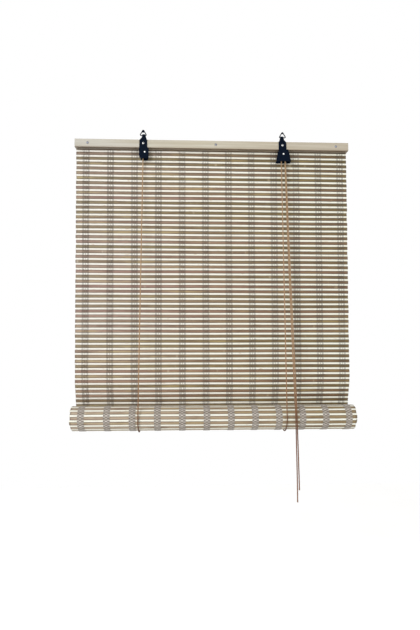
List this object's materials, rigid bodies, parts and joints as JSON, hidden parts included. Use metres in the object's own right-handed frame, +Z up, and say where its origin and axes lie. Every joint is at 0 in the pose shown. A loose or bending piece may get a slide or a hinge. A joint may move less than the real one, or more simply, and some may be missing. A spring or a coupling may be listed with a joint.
{
  "type": "wooden roller blind",
  "caption": "Wooden slat blind woven with yarn bands, rolled up from below by lift cords over pulleys and a cord lock, hung by two wire rings.",
  "frame": {"origin": "midway between the two places where hooks bear in the hanging rings", "axes": "+Z up, +X along the headrail to the right as seen from the front, +Y towards the wall"},
  "size_m": [0.604, 0.062, 0.8052],
  "materials": {
    "batten_wood": "pale sanded wood",
    "screw_steel": "bright zinc",
    "slat_wood": "cream and tan slats by turns",
    "rod_wood": "plain turned wood",
    "yarn": "grey woven yarn",
    "bracket_steel": "blue-black paint, satin",
    "ring_steel": "blackened wire",
    "pulley_plastic": "moulded nylon",
    "roller_steel": "knurled steel",
    "cord": "twisted tan cord"
  },
  "bodies": {
    "headrail": {"front_batten": "batten_wood", "back_batten": "batten_wood", "batten_screws": "screw_steel", "slat_mat": "slat_wood", "front_yarns": "yarn", "back_yarns": "yarn", "left_bracket": "bracket_steel", "left_bracket_screw": "screw_steel", "left_axle": "screw_steel", "right_bracket": "bracket_steel", "right_bracket_screw": "screw_steel", "right_axle": "screw_steel", "left_cord_back": "cord", "left_cord_front": "cord", "cross_cord": "cord", "right_cord_back": "cord", "right_cord_front": "cord", "right_cord_wrap": "cord", "cord_staples": "screw_steel", "long_pull_upper": "cord", "short_pull_upper": "cord"},
    "slings": {"left_cord_sling": "cord", "right_cord_sling": "cord"},
    "roll": {"rolled_mat": "slat_wood", "roll_yarns": "yarn", "bottom_rail": "rod_wood"},
    "pull_ends": {"long_pull_lower": "cord", "short_pull_lower": "cord"},
    "left_wheel": {"left_pulley": "pulley_plastic"},
    "right_wheel": {"right_pulley": "pulley_plastic"},
    "lock": {"lock_roller": "roller_steel"},
    "left_hanger": {"left_ring": "ring_steel"},
    "right_hanger": {"right_ring": "ring_steel"}
  },
  "joints": [
    {"name": "roll_lift", "type": "slide", "parent": "headrail", "child": "slings", "axis": [0, 0, 1], "range_m": [0, 0.50705], "deforming": ["slat_mat", "front_yarns", "back_yarns", "left_cord_back", "left_cord_front", "right_cord_back", "right_cord_front", "long_pull_upper", "short_pull_upper"]},
    {"name": "roll_turn", "type": "hinge", "parent": "slings", "child": "roll", "pos_m": [0, 0.00245, -0.627], "axis": [1, 0, 0], "range_deg": [-1081, 0]},
    {"name": "cord_pull", "type": "slide", "parent": "slings", "child": "pull_ends", "axis": [0, 0, -1], "range_m": [0, 1.52115]},
    {"name": "left_pulley_turn", "type": "hinge", "parent": "headrail", "child": "left_wheel", "pos_m": [-0.1503, 0.0075, -0.0475], "axis": [0, 1, 0], "continuous": true},
    {"name": "right_pulley_turn", "type": "hinge", "parent": "headrail", "child": "right_wheel", "pos_m": [0.1557, 0.006, -0.0475], "axis": [0, 1, 0], "continuous": true},
    {"name": "lock_slide", "type": "slide", "parent": "headrail", "child": "lock", "axis": [0.207, 0, -0.9783], "range_m": [0, 0.007]},
    {"name": "left_ring_swing", "type": "hinge", "parent": "headrail", "child": "left_hanger", "pos_m": [-0.1535, 0, -0.011], "axis": [1, 0, 0], "range_deg": [-115, 135]},
    {"name": "right_ring_swing", "type": "hinge", "parent": "headrail", "child": "right_hanger", "pos_m": [0.1535, 0, -0.011], "axis": [1, 0, 0], "range_deg": [-115, 135]}
  ],
  "couplings": [
    {"joint": "roll_turn", "follows": "roll_lift", "rad_per_m": -37.175},
    {"joint": "cord_pull", "follows": "roll_lift", "ratio": 3},
    {"joint": "left_pulley_turn", "follows": "roll_lift", "rad_per_m": 476.19},
    {"joint": "right_pulley_turn", "follows": "roll_lift", "rad_per_m": 476.19}
  ]
}
